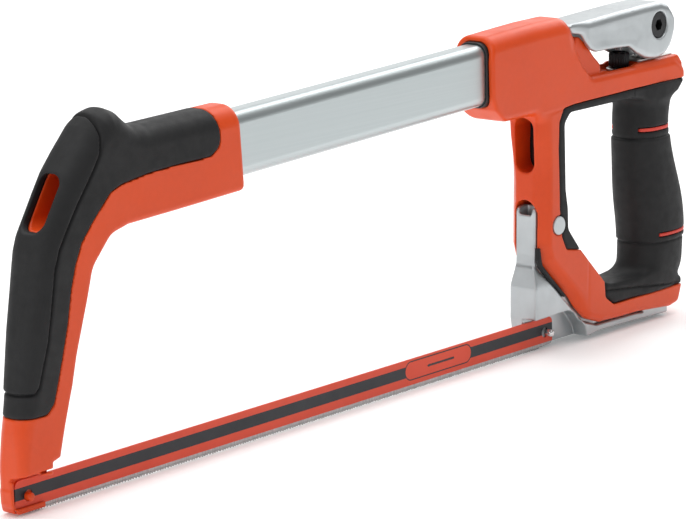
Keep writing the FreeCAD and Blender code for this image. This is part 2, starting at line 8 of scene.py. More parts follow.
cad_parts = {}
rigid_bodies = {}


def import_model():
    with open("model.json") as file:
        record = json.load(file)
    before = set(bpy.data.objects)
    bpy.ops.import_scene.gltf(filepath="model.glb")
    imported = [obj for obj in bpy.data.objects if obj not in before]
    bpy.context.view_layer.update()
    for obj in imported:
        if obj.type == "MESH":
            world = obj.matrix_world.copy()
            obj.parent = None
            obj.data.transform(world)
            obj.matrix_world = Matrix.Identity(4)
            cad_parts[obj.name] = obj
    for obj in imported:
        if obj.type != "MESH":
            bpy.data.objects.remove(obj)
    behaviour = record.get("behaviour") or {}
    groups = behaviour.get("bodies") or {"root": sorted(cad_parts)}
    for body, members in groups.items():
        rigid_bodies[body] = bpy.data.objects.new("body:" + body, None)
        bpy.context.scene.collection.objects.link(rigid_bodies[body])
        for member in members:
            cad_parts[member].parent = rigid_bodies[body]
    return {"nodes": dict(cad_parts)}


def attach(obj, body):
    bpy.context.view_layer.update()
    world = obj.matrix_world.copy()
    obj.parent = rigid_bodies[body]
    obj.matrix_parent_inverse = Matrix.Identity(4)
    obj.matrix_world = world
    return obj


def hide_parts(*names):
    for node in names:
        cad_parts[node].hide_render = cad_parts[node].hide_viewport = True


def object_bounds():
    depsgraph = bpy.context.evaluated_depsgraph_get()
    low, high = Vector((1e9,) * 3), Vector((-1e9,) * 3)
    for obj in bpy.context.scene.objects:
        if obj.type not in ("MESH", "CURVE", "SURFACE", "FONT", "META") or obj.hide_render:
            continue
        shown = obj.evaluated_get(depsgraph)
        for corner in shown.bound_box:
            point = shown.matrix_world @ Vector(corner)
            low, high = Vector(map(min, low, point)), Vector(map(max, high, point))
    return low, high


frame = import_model()
cad_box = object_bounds()
nodes = frame["nodes"]
OX = 192.83                       # design x (mm) of the row's origin
H = 0.5         # grid step of the moulded and cast shapes, mm

for o in list(bpy.data.objects):
    if o.type in ("LIGHT", "CAMERA"):
        bpy.data.objects.remove(o)


# ------------------------------------------------------------------ outlines and fields
def rpoly(pts, step=10.0):
    """outline with a corner radius per point, arcs sampled finely"""
    n = len(pts)
    out = []
    for i in range(n):
        a = np.array(pts[i - 1][:2], float); b = np.array(pts[i][:2], float); c = np.array(pts[(i + 1) % n][:2], float)
        r = pts[i][2] if len(pts[i]) > 2 else 0.0
        u = a - b; v = c - b
        lu, lv = np.linalg.norm(u), np.linalg.norm(v)
        u /= lu; v /= lv
        if r <= 0:
            out.append(b); continue
        ang = math.acos(max(-1, min(1, float(u @ v))))
        t = min(r / math.tan(ang / 2), 0.48 * lu, 0.48 * lv)
        r = t * math.tan(ang / 2)
        bis = (u + v) / np.linalg.norm(u + v)
        cen = b + bis * (r / math.sin(ang / 2))
        p0, p1 = b + u * t - cen, b + v * t - cen
        a0, a1 = math.atan2(p0[1], p0[0]), math.atan2(p1[1], p1[0])
        da = (a1 - a0 + math.pi) % (2 * math.pi) - math.pi
        k = max(2, int(abs(math.degrees(da)) / step) + 1)
        for q in range(k + 1):
            t_ = a0 + da * q / k
            out.append(cen + r * np.array([math.cos(t_), math.sin(t_)]))
    return np.array(out)


def sd_poly(P, X, Z):
    """signed distance to a closed outline, negative inside"""
    d = np.full(X.shape, 1e9); inside = np.zeros(X.shape, bool)
    n = len(P)
    for i in range(n):
        a, b = P[i], P[(i + 1) % n]
        ex, ez = b - a
        wx, wz = X - a[0], Z - a[1]
        L = ex * ex + ez * ez
        if L < 1e-12:
            continue
        t = np.clip((wx * ex + wz * ez) / L, 0, 1)
        d = np.minimum(d, (wx - ex * t) ** 2 + (wz - ez * t) ** 2)
        cond = (a[1] > Z) != (b[1] > Z)
        if abs(ez) > 1e-12:
            xi = a[0] + (Z - a[1]) * ex / ez
            inside ^= cond & (X < xi)
    d = np.sqrt(d)
    return np.where(inside, -d, d)


def d_line(P, X, Z):
    """distance to an open polyline"""
    d = np.full(X.shape, 1e9)
    for a, b in zip(P[:-1], P[1:]):
        a = np.array(a[:2], float); b = np.array(b[:2], float)
        e = b - a
        wx, wz = X - a[0], Z - a[1]
        t = np.clip((wx * e[0] + wz * e[1]) / max(e @ e, 1e-12), 0, 1)
        d = np.minimum(d, (wx - e[0] * t) ** 2 + (wz - e[1] * t) ** 2)
    return np.sqrt(d)


def smin(a, b, k):
    h = np.clip(0.5 + 0.5 * (b - a) / k, 0, 1)
    return b + (a - b) * h - k * h * (1 - h)


def smax(a, b, k):
    return -smin(-a, -b, k)


def sstep(a, b, x):
    t = np.clip((x - a) / (b - a), 0, 1)
    return t * t * (3 - 2 * t)


class Grid:
    def __init__(self, x0, x1, y0, y1, z0, z1, h=None):
        h = h or H
        self.h = h
        self.xs = np.arange(x0 - 1.5 * h, x1 + 2 * h, h)
        self.ys = np.arange(y0 - 1.5 * h, y1 + 2 * h, h)
        self.zs = np.arange(z0 - 1.5 * h, z1 + 2 * h, h)
        self.X2, self.Z2 = np.meshgrid(self.xs, self.zs, indexing="ij")
        self.X = self.xs[:, None, None]; self.Y = self.ys[None, :, None]; self.Z = self.zs[None, None, :]

    def poly(self, pts):
        return sd_poly(rpoly(pts), self.X2, self.Z2)

    def lift(self, f2):
        return f2[:, None, :]

    def slab(self, f2, w, r, y0=0.0):
        """outline field extruded to half width w round y0, edges rounded by r (numbers or 2-D fields)"""
        d2 = self.lift(f2)
        w_ = self.lift(w) if isinstance(w, np.ndarray) else w
        r_ = self.lift(r) if isinstance(r, np.ndarray) else r
        a = d2 + r_; b = np.abs(self.Y - y0) - w_ + r_
        return np.sqrt(np.maximum(a, 0) ** 2 + np.maximum(b, 0) ** 2) + np.minimum(np.maximum(a, b), 0) - r_

    def ycyl(self, x, z, r, y0, y1):
        d = np.sqrt((self.X - x) ** 2 + (self.Z - z) ** 2) - r
        return np.maximum(d, np.maximum(y0 - self.Y, self.Y - y1))

    def box(self, x0, x1, y0, y1, z0, z1, r=0.0):
        cx, cy, cz = (x0 + x1) / 2, (y0 + y1) / 2, (z0 + z1) / 2
        qx = np.abs(self.X - cx) - (x1 - x0) / 2 + r
        qy = np.abs(self.Y - cy) - (y1 - y0) / 2 + r
        qz = np.abs(self.Z - cz) - (z1 - z0) / 2 + r
        return np.sqrt(np.maximum(qx, 0) ** 2 + np.maximum(qy, 0) ** 2 + np.maximum(qz, 0) ** 2) + \
            np.minimum(np.maximum(qx, np.maximum(qy, qz)), 0) - r

    def tube(self, hh, hw, r, x0, x1):
        """rounded bar on the tube's inclined axis, half height hh, half width hw"""
        t = math.radians(2.35)
        zc = 111.14 + math.tan(t) * self.X
        v = (self.Z - zc) * math.cos(t)
        qy = np.abs(self.Y) - hw + r; qz = np.abs(v) - hh + r
        d = np.sqrt(np.maximum(qy, 0) ** 2 + np.maximum(qz, 0) ** 2) + np.minimum(np.maximum(qy, qz), 0) - r
        return np.maximum(d, np.maximum(x0 - self.X, self.X - x1))


def nets(g, F, name, mat, smooth=2):
    """closed quad surface through the field's zero, one vertex per crossed cell"""
    F = np.broadcast_to(F, (len(g.xs), len(g.ys), len(g.zs))).astype(np.float32)
    S = F < 0
    nx, ny, nz = F.shape
    cnt = np.zeros((nx - 1, ny - 1, nz - 1), np.int8)
    for i, j, k in product((0, 1), repeat=3):
        cnt += S[i:nx - 1 + i, j:ny - 1 + j, k:nz - 1 + k]
    act = (cnt > 0) & (cnt < 8)
    idx = np.full(act.shape, -1, np.int64)
    I, J, K = np.nonzero(act)
    n = len(I)
    idx[I, J, K] = np.arange(n)
    P = np.zeros((n, 3)); W = np.zeros(n)
    for a in product((0, 1), repeat=3):
        for ax in range(3):
            if a[ax]:
                continue
            b = list(a); b[ax] = 1
            fa = F[I + a[0], J + a[1], K + a[2]]; fb = F[I + b[0], J + b[1], K + b[2]]
            m = (fa < 0) != (fb < 0)
            t = np.zeros(n); t[m] = fa[m] / (fa[m] - fb[m])
            q = np.tile(np.array(a, float), (n, 1)); q[:, ax] = t
            P[m] += q[m]; W[m] += 1
    P = P / W[:, None] + np.stack([I, J, K], 1)
    quads = []
    for ax in range(3):
        u, v = [(1, 2), (2, 0), (0, 1)][ax]
        sl0 = [slice(None)] * 3; sl1 = [slice(None)] * 3
        sl0[ax] = slice(0, -1); sl1[ax] = slice(1, None)
        A = S[tuple(sl0)]; B = S[tuple(sl1)]
        E = np.nonzero(A != B)
        E = np.stack(E, 1)
        keep = (E[:, u] > 0) & (E[:, v] > 0) & (E[:, u] < F.shape[u] - 1) & (E[:, v] < F.shape[v] - 1)
        E = E[keep]
        du = np.zeros(3, int); du[u] = 1
        dv = np.zeros(3, int); dv[v] = 1
        c = [E - du - dv, E - dv, E, E - du]
        q = np.stack([idx[tuple(k.T)] for k in c], 1)
        flip = ~A[tuple(E.T)]
        q[flip] = q[flip][:, ::-1]
        quads.append(q)
    Q = np.concatenate(quads)
    Q = Q[(Q >= 0).all(1)]
    # even the surface out, keeping its place
    e0 = Q.ravel(); e1 = np.roll(Q, -1, 1).ravel()
    deg = np.bincount(e0, minlength=n).astype(float)
    for it in range(smooth):
        for lam in (0.5, -0.52):
            acc = np.stack([np.bincount(e0, P[e1, c], minlength=n) + np.bincount(e1, P[e0, c], minlength=n) for c in range(3)], 1)
            avg = acc / (2 * deg)[:, None]
            P = P + lam * (avg - P)
    org = np.array([g.xs[0], g.ys[0], g.zs[0]])
    co = org + P * g.h
    co[:, 0] -= OX
    return make(name, co * 0.001, Q, mat)


def make(name, co, faces, mat, smooth=True):
    me = bpy.data.meshes.new(name)
    if isinstance(faces, np.ndarray):
        n, m = len(co), len(faces)
        k = faces.shape[1]
        me.vertices.add(n); me.vertices.foreach_set("co", np.asarray(co, np.float32).ravel())
        me.loops.add(m * k); me.loops.foreach_set("vertex_index", faces.astype(np.int32).ravel())
        me.polygons.add(m)
        me.polygons.foreach_set("loop_start", np.arange(0, m * k, k, dtype=np.int32))
        me.polygons.foreach_set("loop_total", np.full(m, k, np.int32))
        me.update(calc_edges=True)
    else:
        me.from_pydata([tuple(c) for c in co], [], faces)
    me.validate()
    for p in me.polygons:
        p.use_smooth = smooth
    ob = bpy.data.objects.new(name, me)
    bpy.context.scene.collection.objects.link(ob)
    if mat is not None:
        me.materials.append(mat)
    return ob


# ------------------------------------------------------------------ materials
def srgb(r, g, b):
    f = lambda c: (c / 255 / 12.92) if c / 255 <= 0.04045 else (((c / 255) + 0.055) / 1.055) ** 2.4
    return (f(r), f(g), f(b), 1.0)


class Mat:
    def __init__(self, name):
        self.m = bpy.data.materials.new(name)
        self.m.use_nodes = True
        self.t = self.m.node_tree
        self.b = self.t.nodes["Principled BSDF"]
        self.tc = self.t.nodes.new("ShaderNodeTexCoord")

    def n(self, kind, **kw):
        nd = self.t.nodes.new(kind)
        for k, v in kw.items():
            if k in nd.inputs.keys():
                nd.inputs[k].default_value = v
            else:
                setattr(nd, k, v)
        return nd

    def l(self, a, b):
        self.t.links.new(a, b)

    def coords(self, scale=(1, 1, 1)):
        mp = self.n("ShaderNodeMapping")
        mp.inputs["Scale"].default_value = scale
        self.l(self.tc.outputs["Object"], mp.inputs["Vector"])
        return mp.outputs["Vector"]

    def noise(self, scale, detail=3.0, rough=0.5, vec=None):
        nd = self.n("ShaderNodeTexNoise")
        nd.inputs["Scale"].default_value = scale
        nd.inputs["Detail"].default_value = detail
        nd.inputs["Roughness"].default_value = rough
        self.l(vec if vec is not None else self.tc.outputs["Object"], nd.inputs["Vector"])
        return nd.outputs["Fac"]

    def ramp(self, fac, stops):
        r = self.n("ShaderNodeValToRGB")
        el = r.color_ramp.elements
        el[0].position, el[0].color = stops[0][0], stops[0][1]
        el[1].position, el[1].color = stops[-1][0], stops[-1][1]
        for p, c in stops[1:-1]:
            e = el.new(p); e.color = c
        self.l(fac, r.inputs["Fac"])
        return r.outputs["Color"]

    def math(self, op, a, b=None, c=None):
        m = self.n("ShaderNodeMath", operation=op)
        for i, v in enumerate((a, b, c)):
            if v is None:
                continue
            if isinstance(v, (int, float)):
                m.inputs[i].default_value = v
            else:
                self.l(v, m.inputs[i])
        return m.outputs[0]

    def mix(self, fac, a, b, mode="MIX"):
        m = self.n("ShaderNodeMix", data_type="RGBA", blend_type=mode)
        if isinstance(fac, (int, float)):
            m.inputs[0].default_value = fac
        else:
            self.l(fac, m.inputs[0])
        for v, i in ((a, 6), (b, 7)):
            if isinstance(v, tuple):
                m.inputs[i].default_value = v
            else:
                self.l(v, m.inputs[i])
        return m.outputs[2]

    def maprange(self, v, a, b, c, d):
        m = self.n("ShaderNodeMapRange")
        self.l(v, m.inputs[0])
        for i, q in enumerate((a, b, c, d)):
            m.inputs[i + 1].default_value = q
        return m.outputs[0]

    def bump(self, height, strength, dist):
        b = self.n("ShaderNodeBump")
        b.inputs["Strength"].default_value = strength
        b.inputs["Distance"].default_value = dist
        self.l(height, b.inputs["Height"])
        self.l(b.outputs["Normal"], self.b.inputs["Normal"])

    def set(self, **kw):
        for k, v in kw.items():
            self.b.inputs[k.replace("_", " ")].default_value = v


def paint(name, base, dark, rough=0.37):
    m = Mat(name)
    big = m.noise(22.0, 2.0)
    col = m.ramp(big, [(0.35, dark), (0.65, base)])
    fine = m.maprange(m.noise(420.0, 5.0, 0.6), 0.35, 0.75, 0.0, 0.22)
    lighter = tuple(min(1.0, c * 1.16) for c in base[:3]) + (1.0,)
    m.l(m.mix(fine, col, lighter), m.b.inputs["Base Color"])
    peel = m.noise(2600.0, 2.0)
    m.l(m.maprange(m.noise(120.0, 4.0), 0.3, 0.7, rough - 0.05, rough + 0.07), m.b.inputs["Roughness"])
    m.bump(peel, 0.09, 0.0002)
    m.set(Coat_Weight=0.05, Coat_Roughness=0.22, Specular_IOR_Level=0.32)
    return m.m


ORANGE = paint("orange_powder_coat", srgb(223, 75, 22), srgb(216, 71, 20))
ORANGE_IN = paint("orange_inner", srgb(210, 74, 40), srgb(196, 66, 36), 0.55)

m = Mat("black_rubber")
g1 = m.noise(30.0, 3.0)
col = m.ramp(g1, [(0.3, srgb(25, 25, 26)), (0.7, srgb(31, 31, 32))])
m.l(col, m.b.inputs["Base Color"])
m.l(m.maprange(m.noise(260.0, 4.0), 0.3, 0.7, 0.55, 0.68), m.b.inputs["Roughness"])
vo = m.n("ShaderNodeTexVoronoi"); vo.inputs["Scale"].default_value = 2600.0
m.l(m.tc.outputs["Object"], vo.inputs["Vector"])
h = m.math("ADD", m.math("MULTIPLY", vo.outputs["Distance"], 0.7), m.math("MULTIPLY", m.noise(5200.0, 2.0), 0.3))
m.bump(h, 0.16, 0.00025)
m.set(Specular_IOR_Level=0.32)
RUBBER = m.m

m = Mat("anodised_aluminium")
v = m.coords((6.0, 900.0, 900.0))
st = m.noise(1.0, 5.0, 0.6, v)
m.l(m.ramp(st, [(0.3, srgb(184, 192, 193)), (0.7, srgb(192, 199, 200))]), m.b.inputs["Base Color"])
m.l(m.maprange(st, 0.3, 0.7, 0.32, 0.38), m.b.inputs["Roughness"])
m.bump(st, 0.018, 0.0001)
m.set(Metallic=1.0)
TUBE = m.m


def cast_metal(name, a, b, rough, metal=0.85):
    m = Mat(name)
    m.l(m.ramp(m.noise(60.0, 4.0), [(0.3, a), (0.7, b)]), m.b.inputs["Base Color"])
    m.l(m.maprange(m.noise(300.0, 4.0), 0.3, 0.7, rough - 0.05, rough + 0.08), m.b.inputs["Roughness"])
    m.bump(m.noise(2200.0, 3.0), 0.12, 0.0002)
    m.set(Metallic=metal)
    return m.m


SILVER = cast_metal("silver_die_cast", srgb(178, 183, 185), srgb(190, 195, 197), 0.34, 0.75)
STEEL = cast_metal("zinc_plated_steel", srgb(190, 190, 188), srgb(212, 212, 210), 0.3, 1.0)
DARK = cast_metal("black_oxide_steel", srgb(34, 34, 36), srgb(50, 50, 52), 0.36, 0.6)
BRONZE = cast_metal("sintered_bronze", srgb(176, 136, 84), srgb(200, 156, 98), 0.42, 1.0)

m = Mat("black_nylon")
m.l(m.ramp(m.noise(40.0, 3.0), [(0.3, srgb(30, 30, 32)), (0.7, srgb(40, 40, 42))]), m.b.inputs["Base Color"])
m.l(m.maprange(m.noise(400.0, 3.0), 0.3, 0.7, 0.42, 0.56), m.b.inputs["Roughness"])
m.bump(m.noise(3000.0, 2.0), 0.1, 0.0002)
NYLON = m.m

m = Mat("red_rubber")
m.l(m.ramp(m.noise(60.0, 3.0), [(0.3, srgb(206, 58, 44)), (0.7, srgb(224, 70, 54))]), m.b.inputs["Base Color"])
m.l(m.maprange(m.noise(300.0, 3.0), 0.3, 0.7, 0.5, 0.6), m.b.inputs["Roughness"])
m.bump(m.noise(3000.0, 2.0), 0.1, 0.0002)
RED = m.m

POLISHED = cast_metal("polished_pin_steel", srgb(226, 226, 226), srgb(236, 236, 236), 0.2, 0.9)

# ------------------------------------------------------------------ front casting and grip
front_out = [(-7.0, 3.6, 0.6), (7.6, 3.6, 1.0), (8.0, 17.6), (11.6, 18.6, 1.0), (12.8, 23.1, 4),
             (18.3, 43.7), (20.3, 54.5), (23.0, 64.8), (25.8, 75.1), (28.2, 84.6, 10), (37.8, 94.8, 8),
             (46.7, 96.9), (72.5, 97.9), (104.0, 99.3), (124.0, 100.2), (124.0, 132.2),
             (80.0, 131.0), (60.0, 130.5, 6), (53.5, 131.3, 5), (46.6, 137.2, 5), (41.6, 139.2, 4),
             (36.0, 138.0, 5), (31.0, 133.7), (25.0, 127.0), (18.4, 119.0), (14.3, 112.6),
             (10.3, 106.1), (5.6, 98.5, 12), (3.7, 93.0), (1.2, 79.0), (-1.6, 65.5), (-4.0, 51.6),
             (-6.3, 37.6), (-7.2, 30.0), (-7.85, 16.0, 4), (-7.75, 9.0, 4)]
outer_edge = [(124.0, 132.4), (60, 130.8), (53.5, 131.4), (46.6, 137.4), (41.6, 139.4), (36, 138.2), (31.0, 133.9), (18.4, 119.2),
              (10.3, 106.4), (5.6, 99.5), (3.7, 93), (-1.6, 65.5), (-6.3, 37.6), (-8, 16), (-7.85, 9.0), (-7.1, 4)]
inner_edge = [(7.8, 3.6), (8.0, 17.6), (12.8, 23.1), (18.3, 43.7), (23, 64.8), (27.6, 83), (31, 89), (37.8, 94.4), (46.7, 96.9), (72.5, 97.9), (102.5, 99.1)]
rubber_zone = [(-40, 35.6, 0), (5.0, 35.6, 3), (8.4, 39.0), (9.8, 44), (12.2, 54.2), (14.8, 66.3),
               (16.6, 78.7), (19.0, 87.2), (22.4, 94.5), (27.6, 100.4), (32.9, 105.6), (37.5, 110),
               (43.0, 112.0, 6), (57.0, 113.8), (72.8, 114.6), (89.5, 114.8, 5), (95.2, 118.3, 5),
               (94.5, 125.0), (88.0, 160), (-40, 160)]
groove_line = [(36.5, 146.0), (35.0, 137.8), (34.6, 135.4), (34.4, 130.3), (32.7, 124.3), (28.8, 118.6), (20.8, 108.3), (15.4, 100.4),
               (11.4, 93.9), (9.1, 87.2), (5.2, 62.0), (1.2, 46.5), (-0.6, 44.2), (-20.0, 43.2)]

g = Grid(-9, 109, -10.2, 10.2, 0.3, 139.8, 0.42)
f2 = g.poly(front_out)
do = d_line(outer_edge, g.X2, g.Z2); di = d_line(inner_edge, g.X2, g.Z2)
w2 = 7.0 + 3.0 * sstep(22, 90, g.Z2)
ro = 3.5 + 3.1 * sstep(16, 42, g.Z2) + 1.6 * sstep(22, 90, g.Z2) + 1.2 * sstep(118, 134, g.Z2) * sstep(58, 48, g.X2)
r2 = 2.2 + (ro - 2.2) * sstep(-3.0, 6.0, di - do)
endcut = g.lift(g.poly([(-40, 0), (107.6, 0), (107.6, 103.0), (106.0, 128.0), (105.0, 150), (-40, 150)]))
body = smax(g.slab(f2, w2, r2), endcut, 2.2)
low = g.slab(g.poly([(-7.25, 4.2, 3.0), (-5.6, 0.5, 1.5), (8.0, 0.55, 0.6), (8.0, 9.0), (-7.75, 9.0)]), 4.25, 0.7, 2.75)
nqx = -4.4 - g.X + 0 * g.Y + 0 * g.Z; nqy = np.abs(g.Y) - 3.5 + 0 * g.X + 0 * g.Z
low = smax(low, np.sqrt(np.maximum(nqx, 0) ** 2 + np.maximum(nqy, 0) ** 2) + np.minimum(np.maximum(nqx, nqy), 0) - 3.45, 0.4)
body = smin(body, low, 1.2)
zone = g.poly(rubber_zone)
gl = d_line(groove_line, g.X2, g.Z2)
panel = g.poly([(36.5, 150.0), (35.0, 137.8), (34.6, 135.4), (34.4, 130.3), (32.7, 124.3), (28.8, 118.6), (20.8, 108.3), (15.4, 100.4),
                (11.4, 93.9), (9.1, 87.2), (5.2, 62.0), (1.2, 46.5), (-0.6, 44.2), (-40.0, 43.2), (-40, 150)])
mouth = g.tube(9.1, 4.9, 3.6, -30, 40)
tt = math.radians(2.35)
vz = (g.Z - (111.14 + math.tan(tt) * g.X) + 2.5)
qy = np.abs(g.Y) - 4.9 + 3.6; qz = np.abs(vz) - 9.1 + 3.6
mouth = np.sqrt(np.maximum(qy, 0) ** 2 + np.maximum(qz, 0) ** 2) + np.minimum(np.maximum(qy, qz), 0) - 3.6
mouth = np.maximum(mouth, g.X - 40)
# orange casting: the whole form, with the rubber's bed sunk by its thickness
bed = g.lift(zone)
cast = np.where(bed < 0, body + 2.55, body)
cast = np.maximum(body, cast)
room = g.tube(12.55, 6.55, 4.5, 34.0, 200)
cast = np.maximum(cast, -room)
cast = smax(cast, -mouth, 0.5)
zc_ = 14.7 - 0.1 * np.maximum(g.Y + 5.0, 0) - 1.2 * sstep(0.0, 7.0, g.X)
pk = np.maximum(np.maximum(g.lift(g.poly([(-6.35, 2.7, 2.2), (-6.35, 14.7, 2.6), (30, 14.7), (30, 2.7)])), g.Z - zc_), g.Y - 0.42)
pk = np.minimum(pk, np.maximum(np.maximum(2.7 - g.Z, g.Z - zc_), np.maximum(g.Y + 0.62, -14 - g.Y) + 0 * g.X))
pk = np.minimum(pk, np.maximum(g.Z - 2.75, g.Y + 1.55) + 0 * g.X)
pk = np.minimum(pk, g.box(-6.35, 30, -0.62, 0.42, -5, 3.0))
pocket = pk
slit = np.maximum(np.abs(g.Z - (15.6 - 0.35 * (g.Y + 7.0))) - 0.42, np.maximum(-(body + 2.2), np.maximum(g.Y - 0.2, g.X - 8.6)))
cast = np.maximum(cast, -slit)
cast = smax(cast, -pocket, 0.4)
for x in (62.0, 86.0):
    zc = 111.14 + 0.04104 * x - 5.0
    d = np.sqrt((g.X - x) ** 2 + (g.Z - zc) ** 2)
    cone = np.maximum(d - (2.05 + np.clip(g.Y - 8.0, 0, 2.2)), 3.0 - g.Y)
    cast = np.maximum(cast, -cone)
front_casting_v = nets(g, cast, "front_casting_shell", ORANGE)
# rubber: same outer form a touch proud, softened edge, raised inner panel and its groove
proud = 0.10 + 0.38 * g.lift(sstep(0.2, -0.8, panel)) - 1.25 * np.exp(-(g.lift(gl) / 0.48) ** 2)
edge = g.lift(zone)
grip = smax(body - proud, edge + 0.08, 0.9)
inner = -(body + 2.5)
grip = np.maximum(grip, inner)
grip = np.maximum(grip, -room)
mouth_o = mouth - 0.15
grip = smax(grip, -mouth_o, 1.0)
front_grip_v = nets(g, grip, "front_rubber_grip", RUBBER)

# ------------------------------------------------------------------ rear casting
rear_out = [(240.0, 101.6), (284.5, 101.8, 3.0),
            (287.6, 98.0, 3.0), (288.2, 76.0), (287.8, 60.0), (287.4, 45.0, 4), (289.6, 37.6, 5), (295.6, 31.6),
            (306.4, 21.3), (319.6, 9.6, 6), (329.0, 6.3), (355.3, 6.0), (379.0, 3.9, 3), (385.0, 5.0, 3),
            (387.6, 12.0), (387.6, 24.0, 6), (386.6, 30.0), (386.6, 96.0), (390.5, 103.6, 0.8), (390.6, 107.5, 4),
            (383.0, 112.9, 6), (352.0, 112.9), (323.0, 112.9, 5), (316.8, 117.8, 5), (313.9, 123.5, 4),
            (312.7, 130.4, 5), (310.9, 135.6, 5), (306.6, 139.3, 7), (288.0, 138.95), (268.0, 137.9), (240.0, 136.2)]
hand_orange = [(299.3, 60.0), (298.8, 86.0), (299.4, 97.0, 3), (302.4, 102.2, 3), (310.0, 103.0),
               (355.0, 103.7), (396.0, 103.7), (396.0, 12.8), (337.0, 12.8, 3), (330.8, 17.0, 3),
               (330.2, 24.0), (313.5, 40.8), (303.6, 42.6, 1.5), (300.6, 48.5)]
hand_open = [(305.0, 60.0, 3), (303.6, 68.0), (303.2, 95.8, 3.6), (307.2, 99.8, 3.6), (352.0, 99.8, 5), (359.0, 90.0, 20),
             (360.0, 72.0, 40), (361.3, 56.0, 40), (363.6, 38.0, 20), (364.0, 27.0, 8), (358.0, 24.2, 4),
             (331.0, 24.2, 1.0), (313.2, 41.2), (305.2, 51.0, 4)]
arm_room = [(270.0, 20.0), (270.0, 64.5), (293.0, 66.5, 3), (304.0, 62.6, 6), (304.0, 45.5, 2),
            (319.6, 27.0, 2), (331.5, 14.5), (331.5, -5.0), (300.0, -5.0), (270.0, 10.0)]
PX, PZ = 298.2, 53.7
LX, LZ = 370.4, 128.6
g = Grid(254, 392, -10.2, 10.2, 2.5, 140.5, 0.45)
f2 = g.poly(rear_out)
ho = g.poly(hand_orange)
top = sstep(118, 130, g.Z2) * (g.X2 < 318)
rr = 3.4 + 3.4 * sstep(116, 128, g.Z2) * sstep(320, 312, g.X2)
rr = rr * (1 - 0.35 * sstep(330, 345, g.X2) * sstep(40, 20, g.Z2))
rr = rr * (1 - 0.4 * sstep(308, 314, g.X2) * sstep(136, 130, g.Z2) * sstep(112, 116, g.Z2))
cast = g.slab(f2, 10.0, rr)
mouth_cut = g.lift(g.poly([(257.0, 150.0), (256.6, 137.0), (255.4, 128.0), (255.6, 112.5, 3), (257.8, 107.4, 3),
                           (264.6, 101.4, 1), (266.0, 90.0), (266.0, -20), (420, -20), (420, 150)]))
cast = smax(cast, mouth_cut, 1.6)
msk = sstep(104.0, 97.0, g.Z2) * sstep(322.0, 308.0, g.X2)
ya = 10.9 - (3.9 + 2.3 * sstep(97.0, 70.0, g.Z2)) * msk
kk = np.clip(10.0 - ya, 0.0, 9.0) / 5.3
cham = (np.abs(g.Y) - g.lift(ya) - g.lift(kk) * np.maximum(-g.lift(f2), -0.5)) / np.sqrt(1 + g.lift(kk) ** 2)
cast = smax(cast, cham, 0.8)
pad = g.slab(g.poly([(350.0, 108.0), (355.0, 113.5, 2), (386.6, 113.95, 2.5), (389.8, 110.0, 1), (389.0, 106.0)]), 8.4, 1.3)
cast = smin(cast, pad, 1.2)
lev_room = g.slab(g.poly([(308.4, 145.0), (308.6, 134.2, 1), (311.5, 130.2, 1), (316.3, 128.0, 1), (318.4, 125.2, 1), (322.0, 122.6), (332.0, 121.4), (332.0, 145.0)]), 8.4, 0.8)
cast = smax(cast, -lev_room, 0.5)
ramp = g.slab(g.poly([(306.0, 128.4), (314.4, 128.2, 0.6), (314.9, 130.2, 0.8), (317.5, 129.8, 3), (322.5, 126.2, 4), (327.5, 120.6),
                      (334.5, 114.6, 4), (339.0, 111.6), (306.0, 110.0)]), 6.8, 0.8)
cast = smin(cast, ramp, 0.8)
cast = smax(cast, -g.lift(ho), 0.5)
sock = g.tube(13.85, 7.85, 5.8, 262.0, 303.0)
sock1 = g.tube(13.35, 7.35, 5.2, 230.0, 303.0)
cast = smax(cast, -np.minimum(sock, sock1), 0.7)
pp = g.slab(g.poly([(270.0, 99.6, 0.5), (296.0, 98.2, 2.0), (296.0, 76.5, 5.0), (270.0, 76.5, 0.5)]), 4.8, 2.4)
pp2 = np.maximum(np.abs(g.Y) - 4.8, 0)
zr = np.abs(g.Z - 88.0) - 11.6
pslot = np.sqrt(np.maximum(np.abs(g.Y) - 4.8 + 4.6, 0) ** 2 + np.maximum(zr + 4.6, 0) ** 2) + np.minimum(np.maximum(np.abs(g.Y) - 0.2, zr + 4.6), 0) - 4.6
pslot = np.maximum(pslot, g.X - 299.9)
pslot = np.maximum(pslot, 270.0 - g.X)
cast = smax(cast, -pslot, 0.7)
ar = g.slab(g.poly(arm_room), 5.5, 0.4)
top_arch = np.sqrt(g.Y ** 2 + np.maximum(g.Z - 59.5, 0) ** 2) - 5.5
ar = np.maximum(ar, np.maximum(top_arch, -99))
cast = smax(cast, -ar, 0.5)
rail_room = g.slab(g.poly([(325.0, -5.0), (325.0, 10.2, 1), (384.0, 9.6, 1), (384.0, -5.0)]), 5.6, 0.3)
boss_room = g.box(361.5, 383.4, -7.2, 7.2, -5, 12.4, 0.3)
cast = np.maximum(cast, -rail_room); cast = np.maximum(cast, -boss_room)
cast = smax(cast, -g.ycyl(PX, PZ, 4.15, -20, -9.2), 0.25)
cast = smax(cast, -g.ycyl(PX, PZ, 4.15, 9.2, 20), 0.25)
rod_hole = np.sqrt((g.X - LX) ** 2 + g.Y ** 2) - 4.2
cast = np.maximum(cast, -np.maximum(rod_hole, 100 - g.Z))
cast = smax(cast, -g.box(361.0, 386.0, -6.05, 6.05, 112.4, 125, 1.5), 0.25)
cast = smax(cast, -g.box(331.0, 360.2, -6.4, 6.4, 110.7, 125, 1.5), 0.5)
adj_hole = np.maximum(np.sqrt((g.X - 354.4) ** 2 + g.Y ** 2) - 2.6, 104.6 - g.Z)
cast = smax(cast, -adj_hole, 0.3)
bump_cut = [(286.0, 46.0), (288.0, 46.0, 1), (289.5, 38.2, 4), (295.4, 32.1), (306.6, 21.6), (304.0, 20.0), (286.0, 34.0)]
bc = np.maximum(g.lift(g.poly(bump_cut)), np.maximum(g.Y + 5.5, -10.3 - g.Y))
